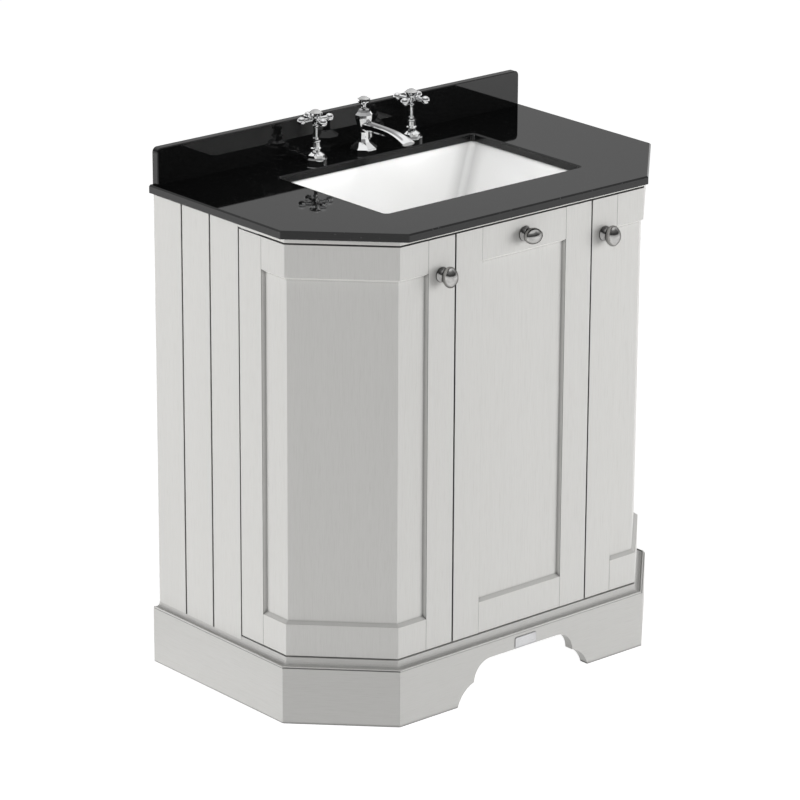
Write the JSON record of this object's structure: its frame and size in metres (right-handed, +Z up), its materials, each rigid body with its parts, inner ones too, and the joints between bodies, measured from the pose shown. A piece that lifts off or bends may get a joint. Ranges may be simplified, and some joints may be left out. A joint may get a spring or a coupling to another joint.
{
  "type": "corner vanity unit",
  "caption": "Bathroom vanity with clipped front corners, shaker doors, a black stone top, an undermounted basin and a crosshead tap set.",
  "frame": {"origin": "on the floor, centred on the unit's width and depth", "axes": "+Z up, +Y towards the wall, +X to the right when the doors are faced"},
  "size_m": [0.837, 0.514, 0.9567],
  "materials": {
    "painted_timber": "light grey paint over vertical grain, eggshell",
    "carcass_board": "light grey coated board, satin",
    "black_stone": "polished",
    "white_ceramic": "gloss glaze",
    "bright_chrome": "mirror",
    "white_button": "gloss glaze",
    "pewter_knob": "antique pewter, satin",
    "zinc_steel": "zinc plated",
    "nut_brass": "machined",
    "fitting_plastic": "moulded"
  },
  "bodies": {
    "cabinet": {"side_panel_left": "painted_timber", "side_panel_right": "painted_timber", "base_panel": "painted_timber", "top_frame": "carcass_board", "back_rail_top": "carcass_board", "back_rail_bottom": "carcass_board", "front_post_left": "carcass_board", "front_post_right": "carcass_board", "plinth_front": "painted_timber", "plinth_side_left": "painted_timber", "plinth_side_right": "painted_timber", "plinth_corner_left": "painted_timber", "plinth_corner_right": "painted_timber", "plinth_rear": "carcass_board", "plinth_moulding": "painted_timber", "worktop": "black_stone", "splashback": "black_stone", "basin": "white_ceramic", "basin_clips": "zinc_steel", "waste_body": "bright_chrome", "valve_body_left": "bright_chrome", "valve_body_right": "bright_chrome", "spout": "bright_chrome", "tap_backnuts": "nut_brass", "door_pivots": "zinc_steel", "flap_pivots": "zinc_steel", "stay_guides": "fitting_plastic", "magnetic_catches": "fitting_plastic"},
    "left_door": {"left_door_hinge_stile": "painted_timber", "left_door_latch_stile": "painted_timber", "left_door_top_rail": "painted_timber", "left_door_bottom_rail": "painted_timber", "left_door_panel": "painted_timber", "left_door_bushes": "fitting_plastic", "left_door_knob": "pewter_knob", "left_door_strike": "zinc_steel"},
    "right_door": {"right_door_hinge_stile": "painted_timber", "right_door_latch_stile": "painted_timber", "right_door_top_rail": "painted_timber", "right_door_bottom_rail": "painted_timber", "right_door_panel": "painted_timber", "right_door_bushes": "fitting_plastic", "right_door_knob": "pewter_knob", "right_door_strike": "zinc_steel"},
    "flap": {"flap_stile_left": "painted_timber", "flap_stile_right": "painted_timber", "flap_top_rail": "painted_timber", "flap_bottom_rail": "painted_timber", "flap_panel": "painted_timber", "flap_knob": "pewter_knob", "flap_stays": "zinc_steel"},
    "left_cross_handle": {"handle_left": "bright_chrome", "handle_cap_left": "white_button"},
    "right_cross_handle": {"handle_right": "bright_chrome", "handle_cap_right": "white_button"},
    "waste_lift": {"lift_rod": "bright_chrome", "lift_cap": "white_button", "clevis_strap": "zinc_steel"},
    "waste_stopper": {"waste_plug": "bright_chrome"},
    "waste_lever": {"pivot_rod": "zinc_steel"}
  },
  "joints": [
    {"name": "left_door_hinge", "type": "hinge", "parent": "cabinet", "child": "left_door", "pos_m": [-0.3995, 0.022, 0.47625], "axis": [0, 0, -1], "range_deg": [0, 95]},
    {"name": "right_door_hinge", "type": "hinge", "parent": "cabinet", "child": "right_door", "pos_m": [0.3995, 0.022, 0.47625], "axis": [0, 0, 1], "range_deg": [0, 95]},
    {"name": "flap_hinge", "type": "hinge", "parent": "cabinet", "child": "flap", "pos_m": [0, -0.2175, 0.123], "axis": [1, 0, 0], "range_deg": [0, 40]},
    {"name": "left_handle_turn", "type": "hinge", "parent": "cabinet", "child": "left_cross_handle", "pos_m": [-0.1075, 0.191, 0.93], "axis": [0, 0, 1], "range_deg": [0, 90]},
    {"name": "right_handle_turn", "type": "hinge", "parent": "cabinet", "child": "right_cross_handle", "pos_m": [0.1075, 0.191, 0.93], "axis": [0, 0, -1], "range_deg": [0, 90]},
    {"name": "lift_rod_slide", "type": "slide", "parent": "cabinet", "child": "waste_lift", "axis": [0, 0, 1], "range_m": [0, 0.03]},
    {"name": "plug_slide", "type": "slide", "parent": "cabinet", "child": "waste_stopper", "axis": [0, 0, -1], "range_m": [0, 0.0052]},
    {"name": "lever_turn", "type": "hinge", "parent": "cabinet", "child": "waste_lever", "pos_m": [0, 0.041, 0.647], "axis": [1, 0, 0], "range_deg": [0, 11.46]}
  ],
  "couplings": [
    {"joint": "plug_slide", "follows": "lift_rod_slide", "ratio": 0.17333},
    {"joint": "lever_turn", "follows": "lift_rod_slide", "rad_per_m": 6.6667}
  ]
}
